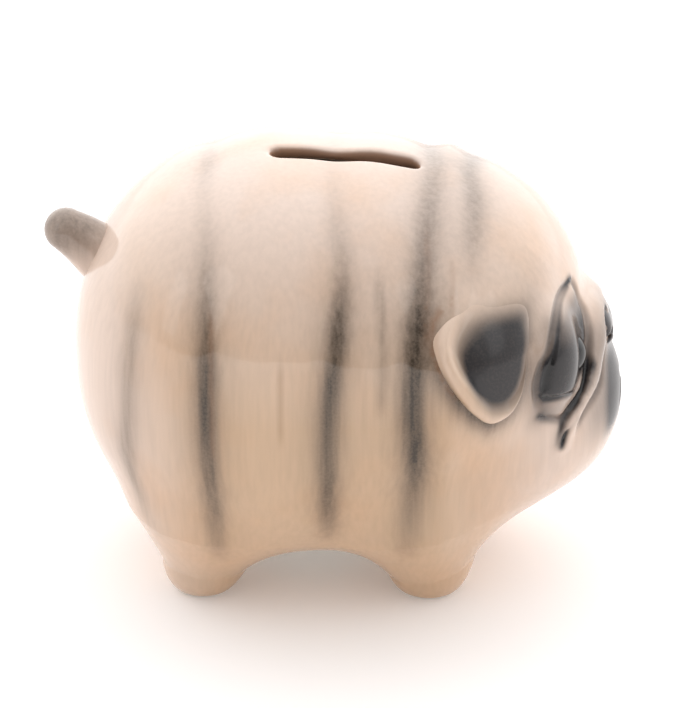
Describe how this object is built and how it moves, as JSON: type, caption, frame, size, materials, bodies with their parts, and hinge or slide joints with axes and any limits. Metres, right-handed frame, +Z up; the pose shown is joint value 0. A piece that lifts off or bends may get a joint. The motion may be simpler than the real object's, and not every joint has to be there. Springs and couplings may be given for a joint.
{
  "type": "figural animal coin bank",
  "caption": "Glazed ceramic pug-shaped coin bank with a slot in the back, luted ears, eyes, nose and tail, and a rubber bung in the belly.",
  "frame": {"origin": "on the surface it stands on, under the middle of the bounding box", "axes": "+X from the tail to the muzzle, +Y to the animal's left, +Z up out of the coin slot"},
  "size_m": [0.1675, 0.1202, 0.129],
  "materials": {
    "cream_glaze": "gloss, airbrushed grey stripes under a clear glaze",
    "ear_glaze": "gloss, dark middle fading to a cream rim",
    "smoke_glaze": "gloss",
    "taupe_glaze": "gloss",
    "bung_rubber": "matt, off-white"
  },
  "bodies": {
    "bank": {"body_shell": "cream_glaze", "right_ear": "ear_glaze", "left_ear": "ear_glaze", "right_eye": "smoke_glaze", "left_eye": "smoke_glaze", "nose": "smoke_glaze", "tail": "taupe_glaze"},
    "bung": {"stopper": "bung_rubber"}
  },
  "joints": [
    {"name": "stopper_pull", "type": "slide", "parent": "bank", "child": "bung", "axis": [0, 0, -1], "range_m": [0, 0.03]}
  ]
}
